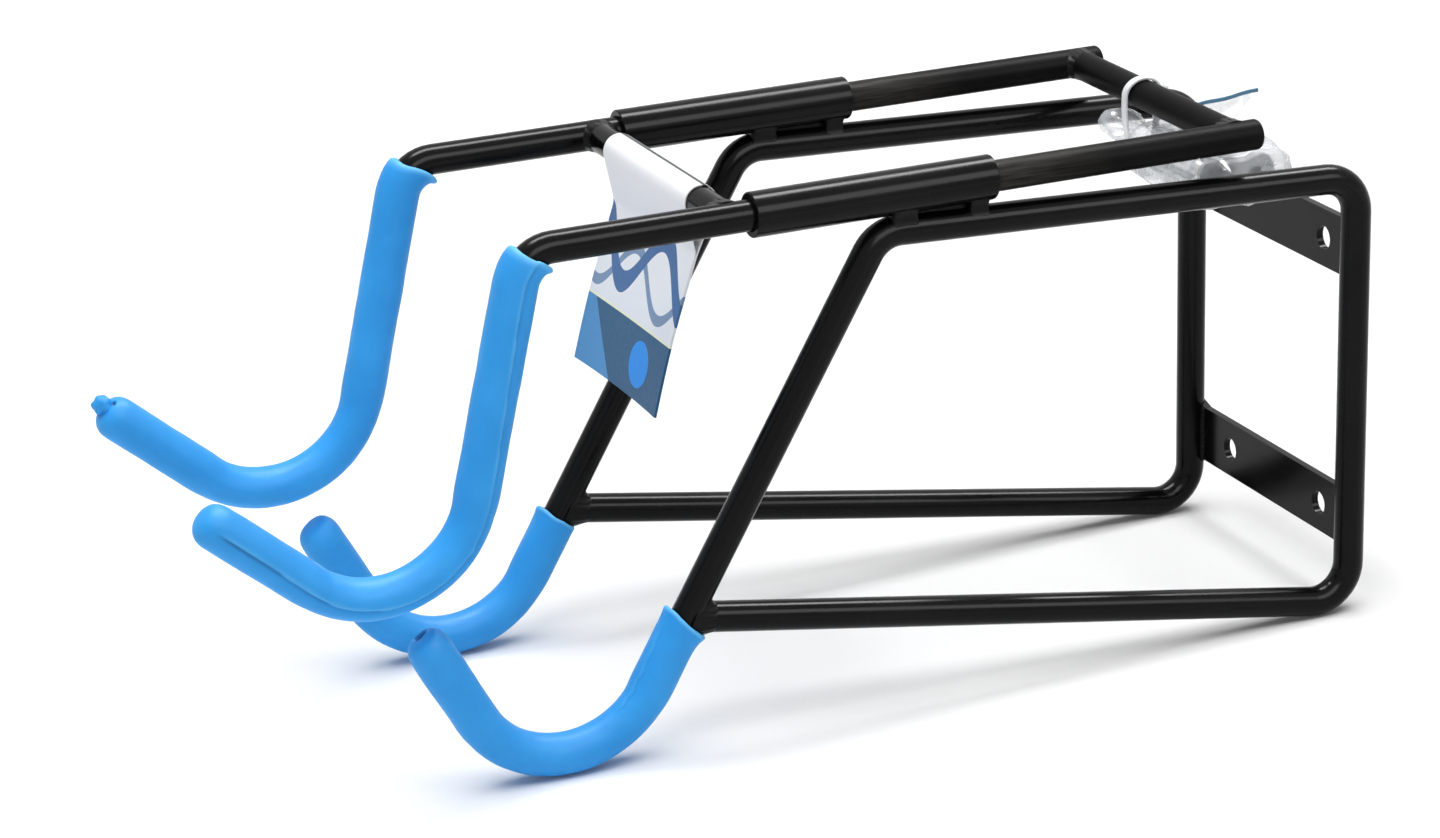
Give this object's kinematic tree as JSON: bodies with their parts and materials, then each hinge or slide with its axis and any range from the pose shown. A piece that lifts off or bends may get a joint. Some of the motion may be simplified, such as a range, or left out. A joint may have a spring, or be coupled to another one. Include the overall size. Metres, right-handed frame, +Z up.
{
  "type": "horizontal wall bike rack",
  "caption": "Wall rack of bent round steel bar with foam-covered hooks; the upper hooks slide out in sleeves, so that bicycles hang level by their frames, one above another.",
  "frame": {"origin": "centre of the four wall holes, on the wall plane that the plates' rear faces rest on", "axes": "+Z up, +Y into the wall, -Y out from the wall towards the hooks, +X to the right of someone facing the wall"},
  "size_m": [0.1452, 0.483, 0.2157],
  "materials": {
    "powder_coat": "satin",
    "coated_weld": "satin",
    "blue_foam": "satin",
    "tie_nylon": "satin",
    "bag_film": "gloss",
    "zinc_steel": "satin",
    "plug_nylon": "satin",
    "printed_card": "satin"
  },
  "bodies": {
    "frame": {"right_side_frame": "powder_coat", "left_side_frame": "powder_coat", "right_guide_sleeve": "powder_coat", "left_guide_sleeve": "powder_coat", "upper_wall_plate": "powder_coat", "lower_wall_plate": "powder_coat", "rail_welds": "coated_weld", "right_sleeve_welds": "coated_weld", "left_sleeve_welds": "coated_weld", "upper_plate_welds": "coated_weld", "lower_plate_welds": "coated_weld", "right_lower_grip": "blue_foam", "left_lower_grip": "blue_foam"},
    "slider": {"right_upper_arm": "powder_coat", "left_upper_arm": "powder_coat", "front_cross_bar": "powder_coat", "rear_cross_bar": "powder_coat", "front_bar_welds": "coated_weld", "rear_bar_welds": "coated_weld", "right_upper_grip": "blue_foam", "left_upper_grip": "blue_foam", "cable_tie": "tie_nylon", "fixings_bag": "bag_film", "wall_screws": "zinc_steel", "wall_washers": "zinc_steel", "wall_plugs": "plug_nylon"},
    "tag": {"hang_tag": "printed_card"}
  },
  "joints": [
    {"name": "arm_slide", "type": "slide", "parent": "frame", "child": "slider", "axis": [0, -1, 0], "range_m": [0, 0.0968]},
    {"name": "tag_swing", "type": "hinge", "parent": "slider", "child": "tag", "pos_m": [0, -0.2748, 0.11409], "axis": [1, 0, 0], "range_deg": [-90, 90]}
  ]
}
